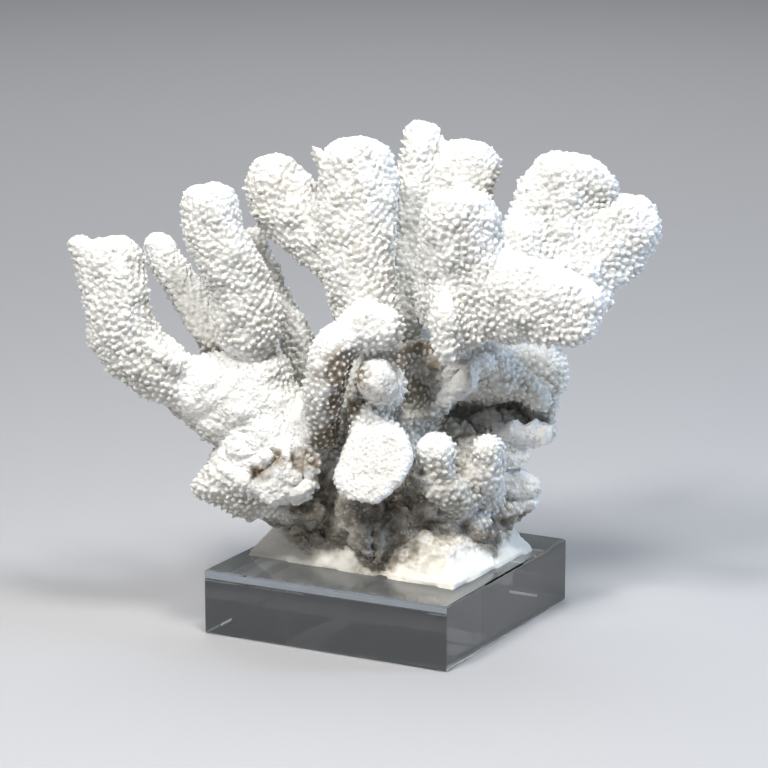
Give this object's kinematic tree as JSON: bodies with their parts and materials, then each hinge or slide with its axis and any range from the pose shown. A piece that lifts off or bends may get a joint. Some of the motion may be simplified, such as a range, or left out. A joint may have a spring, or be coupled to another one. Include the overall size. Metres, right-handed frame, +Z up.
{
  "type": "coral on stand",
  "caption": "White branching coral with knobbly fan-shaped lobes, set in a sloping plaster plinth on a clear square block.",
  "frame": {"origin": "centre of the block's underside, on the surface that it stands on", "axes": "+Z up; X along the block's front edge and Y along its side, with the block's front face looking along -Y; the coral's broad side is turned 27.9 degrees about Z from the front face"},
  "size_m": [0.2818, 0.2156, 0.2821],
  "materials": {
    "clear_acrylic": "clear and polished",
    "plaster": "smooth matte plaster, a little chalky",
    "coral": "matte bleached coral covered in fine knobs, ochre in the hollows"
  },
  "bodies": {
    "root": {"block": "clear_acrylic", "plinth": "plaster", "trunk": "coral", "left_arm": "coral", "outer_finger": "coral", "tall_finger": "coral", "slim_finger": "coral", "rear_blade": "coral", "crown_left": "coral", "crown_centre": "coral", "crown_rear": "coral", "front_fan": "coral", "right_lobe": "coral", "under_lobe": "coral", "front_ridge": "coral", "front_tongue": "coral", "low_finger": "coral", "back_lobe": "coral", "back_right_lobe": "coral", "back_left_lobe": "coral"}
  },
  "joints": []
}
